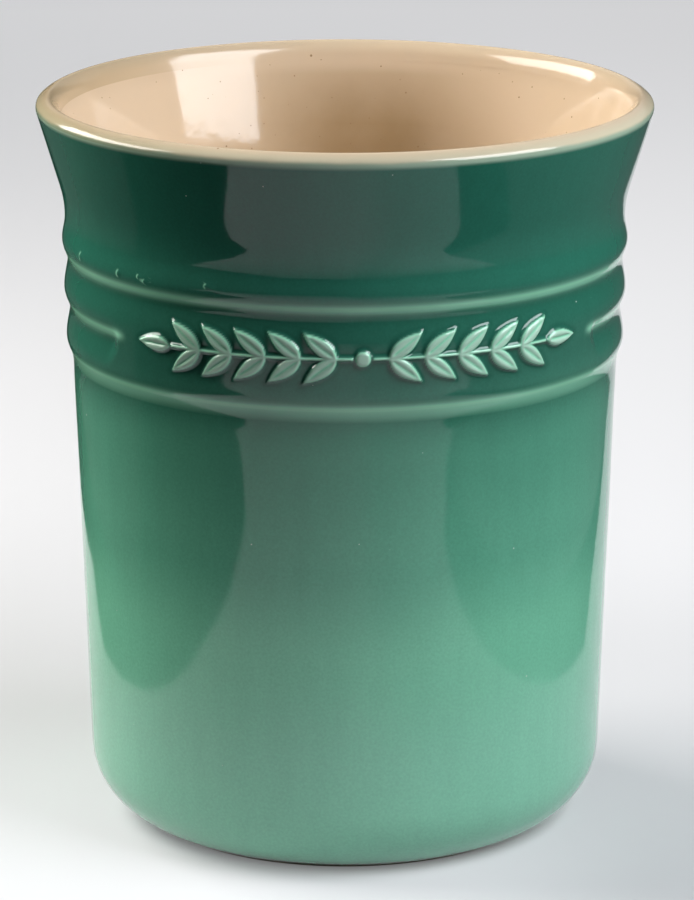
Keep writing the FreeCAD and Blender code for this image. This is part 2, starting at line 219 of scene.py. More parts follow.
@dataclass(frozen=True)
class CrockForm:
    """Driving sizes of the crock, in metres and radians.

    They are those of its solids, apart from the turns of the lip's face and the ends of the notch.
    """

    height: float = 150.0 * MM
    body_radius: float = 55.5 * MM
    draft: float = math.radians(1.85)
    wall: float = 5.6 * MM
    flare_height: float = 23.5 * MM
    rim_flare: float = 5.55 * MM
    waist_depth: float = 0.55 * MM
    waist_bend: float = 24.0 * MM
    lip_radius: float = 2.2 * MM
    lip_corner: float = 1.2 * MM
    lip_ease: float = 5.0 * MM
    lip_turns: tuple[float, ...] = tuple(math.radians(turn) for turn in (10.0, 48.0, 68.0, 130.0))
    inner_flare: float = math.radians(16.0)
    inner_waist_bend: float = 30.0 * MM
    band_depth: float = 4.0 * MM
    waist_rise: float = 8.25 * MM
    ring_count: int = 3
    ring_pitch: float = 10.0 * MM
    ring_depth: float = 1.1 * MM
    ring_edge: float = 2.5 * MM
    panel_half: float = math.radians(54.0)
    panel_turn: float = math.radians(3.5)
    panel_ring: int = 1
    notch_end: float = 6.0 * MM
    base_bend: float = 14.6 * MM
    floor: float = 7.5 * MM
    inner_base_bend: float = 10.0 * MM
    glaze_line: float = 1.1 * MM
    coat: float = 0.4 * MM

    @property
    def waist_z(self) -> float:
        """Returns the height of the waist under the flare."""
        return self.height - self.flare_height

    @property
    def edge_rise(self) -> float:
        """Returns how far a ring's crest stands above the notch under it."""
        return math.sqrt(2 * self.ring_edge * self.ring_depth - self.ring_depth ** 2)

    @property
    def lip_z(self) -> float:
        """Returns the height of the widest point of the lip."""
        return self.height - self.lip_radius

    @property
    def lip_r(self) -> float:
        """Returns the distance of the centre of the lip's round from the axis."""
        return self.waist_r + self.rim_flare - self.lip_radius

    @property
    def waist_r(self) -> float:
        """Returns the outside radius at the waist."""
        return self.notch(self.ring_count - 1)[0] + self.ring_depth - self.waist_depth

    @property
    def band_z(self) -> float:
        """Returns the height where the pale band ends inside the rim."""
        return self.height - self.band_depth

    def notch(self, ring: int) -> Point:
        """Places the notch under a ring.

        Args:
            ring: Number of the ring, counted from the lowest.

        Returns:
            The notch as (radius, height).
        """
        top = self.waist_z - self.waist_rise
        height = top - (self.ring_count - 1 - ring) * self.ring_pitch
        return self.body_radius + ring * self.ring_pitch * math.tan(self.draft), height

    def crest(self, ring: int) -> Point:
        """Returns the crest of a ring as (radius, height)."""
        radius, height = self.notch(ring)
        return radius + self.ring_depth, height + self.edge_rise

    @property
    def panel_span(self) -> Point:
        """Returns the heights of the panel's lower and upper edges."""
        return self.crest(0)[1], self.notch(self.ring_count - 1)[1]

    def outside(self, skin: float = 0.0, plain: bool = False) -> Section:
        """Draws the outside from the glaze line up to the widest point of the lip.

        Args:
            skin: Depth below the glaze's face.
            plain: True on the panel, where one notch is left out.

        Returns:
            The section, rising all the way.
        """
        stretches = [*self._base_and_wall(skin)]
        for ring in range(self.ring_count):
            stretches += self._ring(ring, skin, plain)
        return Section((*stretches, *self._flare(skin)))

    def _base_and_wall(self, skin: float) -> tuple[Arc, Line]:
        """Draws the round of the base and the plain wall above it.

        Args:
            skin: Depth below the glaze's face.

        Returns:
            The two stretches.
        """
        notch_r, notch_z = self.notch(0)
        fall = (notch_z - self.base_bend) * math.tan(self.draft)
        centre = (notch_r - fall - self.base_bend / math.cos(self.draft), self.base_bend)
        bend = self.base_bend - skin
        corner = Arc(centre, bend, -math.asin((centre[1] - self.glaze_line) / bend), -self.draft)
        return corner, Line(corner.end, (notch_r - skin, notch_z))

    def _ring(self, ring: int, skin: float, plain: bool) -> list[Line | Arc]:
        """Draws one ring, from the notch under it to the notch or waist above it.

        Args:
            ring: Number of the ring, counted from the lowest.
            skin: Depth below the glaze's face.
            plain: True on the panel, where one notch is left out.

        Returns:
            The ring's stretches.
        """
        crest_r, crest_z = self.crest(ring)
        crest = (crest_r - skin, crest_z)
        lower_r, lower_z = self.crest(ring - 1)
        edge_centre = (crest[0] - self.ring_edge, crest_z)
        edge = Arc(edge_centre, self.ring_edge, -math.asin(self.edge_rise / self.ring_edge), 0.0)
        if plain and ring == self.panel_ring:
            edge = Line((lower_r - skin, lower_z), crest)
        if plain and ring + 1 == self.panel_ring:
            return [edge]
        top_r, top_z = self.notch(ring + 1)
        if ring + 1 == self.ring_count:
            top_r, top_z = self.waist_r, self.waist_z
        rise, inset = top_z - crest_z, crest[0] - (top_r - skin)
        bend = (rise ** 2 + inset ** 2) / (4 * inset)
        sweep = math.asin(rise / 2 / bend)
        swell = Arc((crest[0] - bend, crest_z), bend, 0.0, sweep)
        hollow = Arc((top_r - skin + bend, top_z), bend, math.pi + sweep, math.pi)
        return [edge, swell, hollow]

    def _flare(self, skin: float) -> tuple[Arc, Line, Arc]:
        """Draws the waist and the flare up to the widest point of the lip.

        Args:
            skin: Depth below the glaze's face.

        Returns:
            The three stretches.
        """
        waist = (self.waist_r - skin, self.waist_z)
        centre = (waist[0] + self.waist_bend, waist[1])
        across = (self.lip_r - centre[0], self.lip_z - centre[1])
        lip = self.lip_radius - skin
        squeeze = math.asin((self.waist_bend + lip) / math.hypot(*across))
        outwards = math.atan2(across[1], across[0]) - squeeze - math.pi / 2
        hollow = Arc(centre, self.waist_bend, math.pi, outwards + math.pi)
        round_lip = Arc((self.lip_r, self.lip_z), lip, outwards, 0.0)
        return hollow, Line(hollow.end, round_lip.start), round_lip

    def inside(self, skin: float = 0.0) -> Section:
        """Draws the inside from the pale band down to the middle of the floor.

        Args:
            skin: Depth below the glaze's face.

        Returns:
            The section, falling and then running in to the axis.
        """
        guide_r, guide_z = self.body_radius - self.wall + skin, self.notch(0)[1]
        slope, steep = math.tan(self.draft), math.tan(self.inner_flare)
        top = self.band_end(skin)
        gap = top[0] - guide_r - (top[1] - guide_z) * slope
        meet_z = top[1] - gap / (steep - slope)
        meet_r = guide_r + (meet_z - guide_z) * slope
        bend = self.inner_waist_bend - skin
        reach = bend * math.tan((self.inner_flare - self.draft) / 2)
        upper = (meet_r + reach * math.sin(self.inner_flare), meet_z + reach * math.cos(self.inner_flare))
        waist = Arc(on_circle(upper, bend, -self.inner_flare), bend,
                    math.pi - self.inner_flare, math.pi - self.draft)
        corner_z = self.floor + self.inner_base_bend
        corner_bend = self.inner_base_bend + skin
        wall_r = guide_r + (corner_z - guide_z) * slope
        corner = Arc((wall_r - corner_bend / math.cos(self.draft), corner_z), corner_bend,
                     -self.draft, -math.pi / 2)
        floor = Line(corner.end, (0.0, corner.end[1]))
        return Section((Line(top, upper), waist, Line(waist.end, corner.start), corner, floor))

    def band_end(self, skin: float = 0.0) -> Point:
        """Places the end of the pale band inside the rim.

        Args:
            skin: Depth below the glaze's face.

        Returns:
            The end as (radius, height).
        """
        slack = (self.lip_radius - skin) / math.cos(self.inner_flare)
        drop = (self.lip_radius - self.band_depth) * math.tan(self.inner_flare)
        return self.lip_r + drop - slack, self.band_z

    def rim(self, skin: float = 0.0) -> Section:
        """Draws the lip from its widest point over the top and down to the end of the pale band.

        Args:
            skin: Depth below the glaze's face.

        Returns:
            The section; its face has run off the top into a tight outer corner.
        """
        last = math.pi - self.inner_flare
        over = [Arc((self.lip_r, self.lip_z), self.lip_radius - skin, 0.0, last)]
        if skin == 0.0:
            slope, crown = self._lip_bends()
            turns = (0.0, *self.lip_turns, last)
            bends = (self.lip_radius, self.lip_corner, slope, crown, self.lip_ease)
            over = [Arc((self.lip_r, self.lip_z), bends[0], turns[0], turns[1])]
            for bend, first, final in zip(bends[1:], turns[1:], turns[2:]):
                centre = on_circle(over[-1].end, -bend, first)
                over.append(Arc(centre, bend, first, final))
        return Section((*over, Line(over[-1].end, self.band_end(skin))))

    def _lip_bends(self) -> Point:
        """Finds the bends of the lip's slope and crown that reach its top and its inner slope.

        Returns:
            The two radii, from two sums that are linear in both.
        """
        low, middle, high, over = self.lip_turns
        top, last = math.pi / 2, math.pi - self.inner_flare
        known = [(self.lip_radius, 0.0, low), (self.lip_corner, low, middle)]
        rise = self.lip_radius - sum(bend * gain(first, final, top) for bend, first, final in known)
        known.append((self.lip_ease, over, last))
        run = sum(bend * gain(first, final, last) for bend, first, final in known)
        run = self.lip_radius * (1.0 - math.cos(last)) - run
        slope = gain(middle, high, top), gain(middle, high, last)
        crown = gain(high, top, top), gain(high, over, last)
        whole = slope[0] * crown[1] - crown[0] * slope[1]
        return (rise * crown[1] - crown[0] * run) / whole, (slope[0] * run - slope[1] * rise) / whole

    def panel_share(self, turn: float, height: float, fade: float) -> float:
        """Tells the plain panel from the rings beside it, round the blunt ends of the notch.

        Args:
            turn: Angle about the axis.
            height: Height above the table.
            fade: Distance over which the notch grows to its full depth.

        Returns:
            1 on the panel and 0 on the rings.
        """
        notch_r, notch_z = self.notch(self.panel_ring)
        off = (abs(turn - self.panel_turn) - self.panel_half) * notch_r
        return 1.0 - smooth_step(0.0, fade, off - (height - notch_z) ** 2 / (2 * self.notch_end))


@dataclass(frozen=True)
class Wobble:
    """The slight unevenness of a hand-finished surface, only ever below the true form."""

    depth: float = 0.08 * MM
    length: float = 18.0 * MM
    fine_share: float = 0.25
    fine_rate: float = 3.0

    def at(self, place: Vector) -> float:
        """Finds how far the surface lies in from its true radius.

        Args:
            place: A place on the surface.

        Returns:
            The distance, never less than 0.
        """
        broad = noise.noise(place / self.length)
        fine = noise.noise(place * self.fine_rate / self.length)
        return self.depth * (1.0 + (1.0 - self.fine_share) * broad + self.fine_share * fine)


@dataclass(frozen=True)
class Garland:
    """A raised sprig of paired leaves on the panel, even about a bead in its middle."""

    middle_z: float = 109.2 * MM
    relief: float = 0.85 * MM
    pairs: int = 5
    first: float = 5.0 * MM
    pitch: float = 6.9 * MM
    leaf_length: float = 8.4 * MM
    leaf_half: float = 1.75 * MM
    leaf_lean: float = math.radians(37.0)
    leaf_belly: float = 0.75
    leaf_fullness: float = 0.85
    stem_half: float = 0.5 * MM
    bead_radius: float = 1.7 * MM
    shoulder: float = 0.75 * MM
    foot: float = 0.4 * MM
    rib_depth: float = 0.3 * MM
    rib_half: float = 0.34 * MM
    rib_start: Point = (0.02, 0.2)
    rib_end: Point = (0.95, 0.7)

    def leaf(self, along: float, off: float) -> float:
        """Finds the distance outside one leaf.

        Args:
            along: Distance from the leaf's base towards its tip.
            off: Distance from its midrib.

        Returns:
            The distance, less than 0 within the leaf.
        """
        share = along / self.leaf_length
        if not 0.0 < share < 1.0:
            over = -along if share <= 0.0 else along - self.leaf_length
            return math.hypot(over, off)
        return abs(off) - self.leaf_half * math.sin(math.pi * share ** self.leaf_belly) ** self.leaf_fullness

    def nearest(self, along: float, off: float) -> tuple[float, float]:
        """Finds the nearest form of the sprig.

        Args:
            along: Distance along the panel from its middle.
            off: Height above the stem.

        Returns:
            The distance outside that form, and how much of a rib runs there.
        """
        along, off = abs(along), abs(off)
        end = self.first + self.pairs * self.pitch
        best = min(math.hypot(along, off) - self.bead_radius,
                   max(off - self.stem_half, self.bead_radius - along, along - end))
        rib = 0.0
        leaves = [(self.first + number * self.pitch, self.leaf_lean) for number in range(self.pairs)]
        for base, lean in [*leaves, (end, 0.0)]:
            run, rise = along - base, off
            reach = run * math.cos(lean) + rise * math.sin(lean)
            aside = rise * math.cos(lean) - run * math.sin(lean)
            away = self.leaf(reach, aside)
            if away < best:
                best = away
                share = reach / self.leaf_length
                ends = smooth_step(*self.rib_start, share) * smooth_step(*self.rib_end, share)
                rib = ends * math.exp(-(aside / self.rib_half) ** 2)
        return best, rib

    def height(self, away: float, rib: float) -> float:
        """Returns how far the sprig stands out of the panel."""
        return self.relief * smooth_step(self.foot, -self.shoulder, away) - self.rib_depth * rib


@dataclass(frozen=True)
class Blister:
    """A small bubble that stands out of the glaze, with a painted highlight in a crescent on its left."""

    turn: float
    height: float
    radius: float
    steepness: float = 0.2
    painted_highlight: float = 0.55
    crescent_at: float = 0.7
    crescent_half: float = 0.25
    crescent_side: Point = (0.1, -0.6)
    surroundings: float = 2.0

    def at(self, turn: float, height: float, radius: float) -> float:
        """Returns how far the glaze stands out at a place on it."""
        off = math.hypot((turn - self.turn) * radius, height - self.height) / self.radius
        return self.steepness * self.radius * max(0.0, 1.0 - off * off) ** 2

    def pale(self, turn: float, height: float, radius: float) -> float:
        """Finds the painted highlight, a pale crescent on the bubble's left.

        Args:
            turn: Angle about the axis.
            height: Height above the table.
            radius: Radius of the plain form there.

        Returns:
            A share from 0 to the bubble's strongest painted highlight.
        """
        across = (turn - self.turn) * radius / self.radius
        off = math.hypot(across, (height - self.height) / self.radius)
        ring = math.exp(-((off - self.crescent_at) / self.crescent_half) ** 2)
        return self.painted_highlight * ring * smooth_step(*self.crescent_side, across)

    def near(self, place: Vector, form: CrockForm) -> bool:
        """Tells whether a place on the coat belongs to the bubble or its surroundings."""
        across = (turn_of(place) - self.turn) * form.body_radius
        return math.hypot(across, place.z - self.height) < self.surroundings * self.radius


@dataclass(frozen=True)
class Cloud:
    """Cloudy noise, spread between two values."""

    scale: float
    low: float = 0.0
    high: float = 1.0
    detail: float = 3.0
    span: Point = (0.3, 0.7)


@dataclass(frozen=True)
class Specks:
    """Small round specks: cells to a metre, a speck's radius in cells and the share of cells with one."""

    scale: float
    size: float
    share: float


@dataclass(frozen=True)
class Grain:
    """The fine unevenness of a face: a patchy roughness and low bumps."""

    roughness: Cloud
    bumps: Cloud
    depth: float


class Nodes:
    """The shader nodes of one material, with short calls that add and join them."""

    def __init__(self, name: str) -> None:
        """Starts a material with one Principled shader.

        Args:
            name: Name of the material.
        """
        self.material = bpy.data.materials.new(name)
        self.material.use_nodes = True
        self.tree = self.material.node_tree
        self.shader = self.tree.nodes["Principled BSDF"]
        self.place = self.add("ShaderNodeTexCoord").outputs["Object"]
        split = self.add("ShaderNodeSeparateXYZ")
        self.feed(split.inputs[0], self.place)
        self.across, self.back, self.height = split.outputs

    def add(self, kind: str, **settings: object) -> bpy.types.Node:
        """Adds a node.

        Args:
            kind: Blender's name for the kind of node.
            settings: The node's own options.

        Returns:
            The node.
        """
        node = self.tree.nodes.new(kind)
        for name, value in settings.items():
            setattr(node, name, value)
        return node

    def feed(self, socket: bpy.types.NodeSocket, value: object) -> None:
        """Joins a socket to another, or sets its value.

        Args:
            socket: Input to feed.
            value: Socket, number or colour.
        """
        if isinstance(value, bpy.types.NodeSocket):
            self.tree.links.new(value, socket)
        elif isinstance(value, tuple) and socket.type == "RGBA":
            socket.default_value = (*value, 1.0)
        else:
            socket.default_value = value

    def set(self, **sockets: object) -> None:
        """Sets or joins the shader's sockets, named with underscores for spaces."""
        for name, value in sockets.items():
            self.feed(self.shader.inputs[name.replace("_", " ")], value)

    def attribute(self, layer: Layer) -> bpy.types.NodeSocket:
        """Reads a value kept on the vertices."""
        return self.add("ShaderNodeAttribute", attribute_name=layer.value).outputs["Fac"]

    def grey(self, value: bpy.types.NodeSocket) -> bpy.types.NodeSocket:
        """Makes a grey of a number.

        Args:
            value: The number.

        Returns:
            The grey, as a colour.
        """
        node = self.add("ShaderNodeCombineColor")
        for socket in node.inputs:
            self.feed(socket, value)
        return node.outputs[0]

    def stretched(self, scale: Colour) -> bpy.types.NodeSocket:
        """Reads the place, scaled along each axis.

        Args:
            scale: Scale along X, Y and Z.

        Returns:
            The scaled place.
        """
        mapping = self.add("ShaderNodeMapping")
        self.feed(mapping.inputs["Vector"], self.place)
        mapping.inputs["Scale"].default_value = scale
        return mapping.outputs["Vector"]

    def noise(self, cloud: Cloud, place: object = None) -> bpy.types.NodeSocket:
        """Adds cloudy noise as it comes, from 0 to 1.

        Args:
            cloud: Its scale and detail.
            place: Where to read it, or None for the place on the object.

        Returns:
            The noise.
        """
        node = self.add("ShaderNodeTexNoise")
        self.feed(node.inputs["Vector"], self.place if place is None else place)
        node.inputs["Scale"].default_value = cloud.scale
        node.inputs["Detail"].default_value = cloud.detail
        return node.outputs["Fac"]

    def spread(self, cloud: Cloud, place: object = None) -> bpy.types.NodeSocket:
        """Adds cloudy noise, spread between the cloud's two values."""
        return self.span(self.noise(cloud, place), *cloud.span, cloud.low, cloud.high)

    def span(self, value: object, low: float, high: float, first: float = 0.0, last: float = 1.0,
             smooth: bool = False) -> bpy.types.NodeSocket:
        """Maps a value from one span onto another, held at its ends.

        Args:
            value: Socket to map.
            low: Value that gives first.
            high: Value that gives last.
            first: Result at low.
            last: Result at high.
            smooth: True to ease in and out.

        Returns:
            The mapped socket.
        """
        node = self.add("ShaderNodeMapRange")
        node.interpolation_type = "SMOOTHSTEP" if smooth else "LINEAR"
        for name, number in (("Value", value), ("From Min", low), ("From Max", high),
                             ("To Min", first), ("To Max", last)):
            self.feed(node.inputs[name], number)
        return node.outputs["Result"]

    def within(self, value: object, socket: bpy.types.NodeSocket, spans: Iterable[Point],
               smooth: bool = True) -> object:
        """Fades a value out where a socket leaves its spans.

        Args:
            value: Number or socket to fade.
            socket: What decides where it fades.
            spans: For each fade, the socket's value where nothing is left and where all of it is.
            smooth: True to ease in and out.

        Returns:
            The faded value.
        """
        for low, high in spans:
            value = self.math("MULTIPLY", self.span(socket, low, high, smooth=smooth), value)
        return value

    def math(self, operation: str, first: object, second: object) -> bpy.types.NodeSocket:
        """Works out one sum on two numbers.

        Args:
            operation: Blender's name for the sum.
            first: Number or socket.
            second: Number or socket.

        Returns:
            The result.
        """
        node = self.add("ShaderNodeMath", operation=operation)
        self.feed(node.inputs[0], first)
        self.feed(node.inputs[1], second)
        return node.outputs[0]

    def mix(self, share: object, first: object, second: object, blend: str = "MIX") -> bpy.types.NodeSocket:
        """Mixes two colours.

        Args:
            share: How much of the second colour shows.
            first: Colour or socket below.
            second: Colour or socket on top.
            blend: Way of mixing.

        Returns:
            The mixed colour.
        """
        node = self.add("ShaderNodeMix", data_type="RGBA", blend_type=blend)
        self.feed(node.inputs["Factor"], share)
        self.feed(node.inputs[6], first)
        self.feed(node.inputs[7], second)
        return node.outputs[2]

    def tint(self, colour: object, filter_colour: object) -> bpy.types.NodeSocket:
        """Multiplies a colour by another."""
        return self.mix(1.0, colour, filter_colour, "MULTIPLY")

    def ramp(self, share: object, stops: Iterable[tuple[float, Colour]]) -> bpy.types.NodeSocket:
        """Adds a colour ramp with eased stops.

        Args:
            share: Where on the ramp to read.
            stops: Its places and their colours.

        Returns:
            The colour.
        """
        node = self.add("ShaderNodeValToRGB")
        self.feed(node.inputs["Fac"], share)
        node.color_ramp.interpolation = "EASE"
        stops = list(stops)
        elements = node.color_ramp.elements
        while len(elements) < len(stops):
            elements.new(0.5)
        for element, (position, colour) in zip(elements, stops):
            element.position = position
            element.color = (*colour, 1.0)
        return node.outputs["Color"]

    def specked(self, colour: object, specks: Specks, speck: Colour) -> bpy.types.NodeSocket:
        """Scatters small round specks over a colour.

        Args:
            colour: Colour between the specks.
            specks: How large and how many they are.
            speck: Their colour.

        Returns:
            The specked colour.
        """
        cells = self.add("ShaderNodeTexVoronoi")
        self.feed(cells.inputs["Vector"], self.place)
        cells.inputs["Scale"].default_value = specks.scale
        split = self.add("ShaderNodeSeparateColor")
        self.feed(split.inputs[0], cells.outputs["Color"])
        chosen = self.math("GREATER_THAN", split.outputs["Red"], 1.0 - specks.share)
        radius = self.math("MULTIPLY", split.outputs["Green"], specks.size)
        near = self.math("LESS_THAN", cells.outputs["Distance"], radius)
        return self.mix(self.math("MULTIPLY", chosen, near), colour, speck)

    def surface(self, colour: object, grain: Grain) -> bpy.types.Material:
        """Gives the shader its colour and its fine unevenness.

        Args:
            colour: Colour of the face.
            grain: Its roughness and bumps.

        Returns:
            The finished material.
        """
        self.set(Base_Color=colour, Roughness=self.spread(grain.roughness), IOR=1.5)
        bump = self.add("ShaderNodeBump")
        bump.inputs["Distance"].default_value = grain.depth
        self.feed(bump.inputs["Height"], self.noise(grain.bumps))
        self.set(Normal=bump.outputs["Normal"])
        return self.material


@dataclass(frozen=True)
class GreenGlaze:
    """Glossy green glaze: dark at the top, light at the foot, pale where it thins over edges."""

    top: Colour = (0.023, 0.150, 0.101)
    collar: Colour = (0.029, 0.150, 0.101)
    upper: Colour = (0.086, 0.312, 0.206)
    middle: Colour = (0.112, 0.372, 0.247)
    lower: Colour = (0.182, 0.520, 0.343)
    base: Colour = (0.214, 0.535, 0.372)
    edge: Colour = (0.310, 0.720, 0.490)
    bare: Colour = (0.440, 0.680, 0.530)
    lip: Colour = (0.310, 0.430, 0.315)
    pooled: Colour = (0.58, 0.70, 0.68)
    fleck: Colour = (0.45, 0.62, 0.53)
    edge_thin: float = 0.6
    lip_run: float = 1.0 * MM
    drift: Cloud = Cloud(28.0, -0.015, 0.015, 2.0)
    mottle: Cloud = Cloud(1900.0, 0.94, 1.06)
    runs: Cloud = Cloud(1.0, 0.98, 1.02, 2.0)
    run_scale: Colour = (320.0, 320.0, 40.0)
    flecks: Specks = Specks(330.0, 0.07, 0.12)
    grain: Grain = Grain(Cloud(420.0, 0.05, 0.085), Cloud(520.0, detail=2.0), 0.012 * MM)

    def material(self, form: CrockForm) -> bpy.types.Material:
        """Makes the finish.

        Args:
            form: Sizes of the crock, for the heights where the colour turns.

        Returns:
            The material.
        """
        nodes = Nodes("green_glaze")
        level = nodes.math("DIVIDE", nodes.height, form.height)
        colour = nodes.ramp(nodes.math("ADD", level, nodes.spread(self.drift)), (
            (0.00, self.base), (0.16, self.base), (0.31, self.lower), (0.45, self.middle),
            (0.58, self.upper), (0.70, self.collar), (0.90, self.top),
        ))
        runs = nodes.spread(self.runs, nodes.stretched(self.run_scale))
        colour = nodes.tint(colour, nodes.grey(nodes.math("MULTIPLY", nodes.spread(self.mottle), runs)))
        colour = nodes.mix(nodes.attribute(Layer.POOL), colour, nodes.tint(colour, self.pooled))
        thin = nodes.attribute(Layer.THIN_AND_PAINTED_HIGHLIGHT)
        colour = nodes.mix(nodes.span(thin, 0.0, self.edge_thin), colour, self.edge)
        colour = nodes.mix(nodes.span(thin, self.edge_thin, 1.0), colour, self.bare)
        lip = nodes.span(nodes.height, form.lip_z - self.lip_run, form.lip_z, smooth=True)
        colour = nodes.mix(lip, colour, self.lip)
        return nodes.surface(nodes.specked(colour, self.flecks, self.fleck), self.grain)


@dataclass(frozen=True)
class CreamGlaze:
    """Glossy cream lining with fine iron freckles, and painted shade: a brown cloud on the middle of the
    back of the wall, deepening below the rim and fading out lower down.
    """

    rim: Colour = (0.650, 0.503, 0.350)
    colour: Colour = (0.680, 0.526, 0.367)
    painted_shade_brown: Colour = (0.345, 0.232, 0.122)
    freckle: Colour = (0.30, 0.19, 0.10)
    thin_depth: float = 7.0 * MM
    painted_shade_depths: tuple[Point, ...] = ((-4.0 * MM, 17.0 * MM), (48.0 * MM, 28.0 * MM))
    painted_shade_across: tuple[Point, ...] = ((-40.0 * MM, 3.0 * MM), (40.0 * MM, 8.5 * MM))
    painted_shade_back: tuple[Point, ...] = ((0.0 * MM, 25.0 * MM),)
    cloud: Cloud = Cloud(70.0, 0.9, 1.1, 4.0, (0.35, 0.75))
    freckles: Specks = Specks(760.0, 0.15, 0.28)
    grain: Grain = Grain(Cloud(400.0, 0.06, 0.102), Cloud(480.0, detail=2.0), 0.012 * MM)

    def material(self, form: CrockForm) -> bpy.types.Material:
        """Makes the finish.

        Args:
            form: Sizes of the crock, for the depths of the painted shade.

        Returns:
            The material.
        """
        nodes = Nodes("cream_glaze")
        # Painted shade: a brown cloud darkens the middle of the back wall, deepening down to 17 mm below the
        # rim and fading out from 28 to 48 mm.
        levels = [(form.height - start, form.height - end) for start, end in self.painted_shade_depths]
        painted_shade = nodes.within(nodes.spread(self.cloud), nodes.height, levels, smooth=False)
        painted_shade = nodes.within(painted_shade, nodes.across, self.painted_shade_across)
        painted_shade = nodes.within(painted_shade, nodes.back, self.painted_shade_back)
        colour = nodes.mix(painted_shade, self.colour, self.painted_shade_brown)
        rim = nodes.span(nodes.height, form.height - self.thin_depth, form.band_z, smooth=True)
        colour = nodes.mix(rim, colour, self.rim)
        return nodes.surface(nodes.specked(colour, self.freckles, self.freckle), self.grain)


@dataclass(frozen=True)
class RimFinish:
    """Pale khaki where the two coats thin over the lip, mint outside and cream inside."""

    mint: Colour = (0.330, 0.430, 0.320)
    khaki: Colour = (0.550, 0.492, 0.350)
    sand: Colour = (0.565, 0.450, 0.312)
    blush: Colour = (0.650, 0.503, 0.350)
    freckle: Colour = (0.30, 0.20, 0.11)
    painted_shade_tint: Colour = (0.79, 0.77, 0.69)
    painted_shade_reach: Point = (-20.0 * MM, -58.0 * MM)
    drift: Cloud = Cloud(160.0, -0.015, 0.015)
    freckles: Specks = Specks(420.0, 0.11, 0.16)
    grain: Grain = Grain(Cloud(400.0, 0.08, 0.144), Cloud(480.0, detail=2.0), 0.015 * MM)

    def material(self) -> bpy.types.Material:
        """Makes the finish.

        Returns:
            The material.
        """
        nodes = Nodes("rim_glaze")
        across = nodes.math("ADD", nodes.attribute(Layer.ACROSS), nodes.spread(self.drift))
        colour = nodes.ramp(across, (
            (0.02, self.mint), (0.12, self.khaki), (0.45, self.sand), (1.0, self.blush),
        ))
        # Painted shade: the band is darkened towards its left side.
        tan = nodes.span(nodes.across, *self.painted_shade_reach, smooth=True)
        colour = nodes.mix(tan, colour, nodes.tint(colour, self.painted_shade_tint))
        return nodes.surface(nodes.specked(colour, self.freckles, self.freckle), self.grain)


@dataclass(frozen=True)
class FiredClay:
    """Bare stoneware: matt, pale buff and slightly gritty."""

    colour: Colour = (0.56, 0.47, 0.35)
    dark: Colour = (0.42, 0.34, 0.24)
    grit: Colour = (0.25, 0.18, 0.12)
    cloud: Cloud = Cloud(220.0, detail=6.0)
    specks: Specks = Specks(700.0, 0.2, 0.2)
    grain: Grain = Grain(Cloud(300.0, 0.82, 0.902), Cloud(1400.0, detail=4.0), 0.05 * MM)

    def material(self) -> bpy.types.Material:
        """Makes the finish.

        Returns:
            The material.
        """
        nodes = Nodes("fired_clay")
        colour = nodes.mix(nodes.noise(self.cloud), self.colour, self.dark)
        return nodes.surface(nodes.specked(colour, self.specks, self.grit), self.grain)


@dataclass(frozen=True)
class PaintedLight:
    """Painted light: extra glow over part of the paper, eased in between places across it and along it."""

    amount: float
    across: tuple[Point, ...] = ()
    along: tuple[Point, ...] = ()


@dataclass(frozen=True)
class PaperFinish:
    """Plain pale paper, paler with distance and never lifted where the crock shades it."""

    colour: Colour = (0.440, 0.443, 0.454)
    cloudy: float = 0.98
    cloud: Cloud = Cloud(6.0)
    glow: Colour = (0.985, 0.990, 1.010)
    near_lift: float = 0.07
    far_lift: float = 0.56
    depth: Point = (-0.10, 0.95)
    shade: Point = (0.036, 0.0485)
    rear_lift: float = 0.42
    rear: Point = (0.20, 1.10)
    rear_from: tuple[Point, ...] = ((0.30, -0.05),)
    # Painted light on the paper: glow along the front, stronger at the front left, and on the right side
    # further back.
    painted_lights: tuple[PaintedLight, ...] = (
        PaintedLight(0.065, along=((0.12, 0.0),)),
        PaintedLight(0.185, across=((0.07, 0.01),), along=((0.06, -0.05),)),
        PaintedLight(0.135, across=((0.0, 0.08),), along=((0.05, 0.20), (1.0, 0.40))),
    )
    roughness: float = 0.9

    def material(self) -> bpy.types.Material:
        """Makes the finish, lifted a little towards white for the camera and for reflections.

        Returns:
            The material.
        """
        nodes = Nodes("paper")
        cloudy = tuple(self.cloudy * part for part in self.colour)
        colour = nodes.mix(nodes.noise(self.cloud), self.colour, cloudy)
        rays = nodes.add("ShaderNodeLightPath").outputs
        seen = nodes.math("MAXIMUM", rays["Is Camera Ray"],
                          nodes.math("MAXIMUM", rays["Is Glossy Ray"], rays["Is Transmission Ray"]))
        reach = nodes.add("ShaderNodeVectorMath", operation="LENGTH")
        nodes.feed(reach.inputs[0], nodes.place)
        away = reach.outputs["Value"]
        glow = nodes.span(nodes.back, *self.depth, self.near_lift, self.far_lift)
        for light_patch in self.painted_lights:
            extra = nodes.within(light_patch.amount, nodes.across, light_patch.across)
            glow = nodes.math("ADD", glow, nodes.within(extra, nodes.back, light_patch.along))
        rear = nodes.within(nodes.span(away, *self.rear, 0.0, self.rear_lift), nodes.back, self.rear_from)
        glow = nodes.math("ADD", glow, nodes.math("MULTIPLY", rear, rays["Is Camera Ray"]))
        glow = nodes.math("MULTIPLY", glow, nodes.span(away, *self.shade, smooth=True))
        nodes.set(Base_Color=colour, Roughness=self.roughness, Specular_IOR_Level=0.0)
        nodes.set(Emission_Color=self.glow, Emission_Strength=nodes.math("MULTIPLY", seen, glow))
        return nodes.material


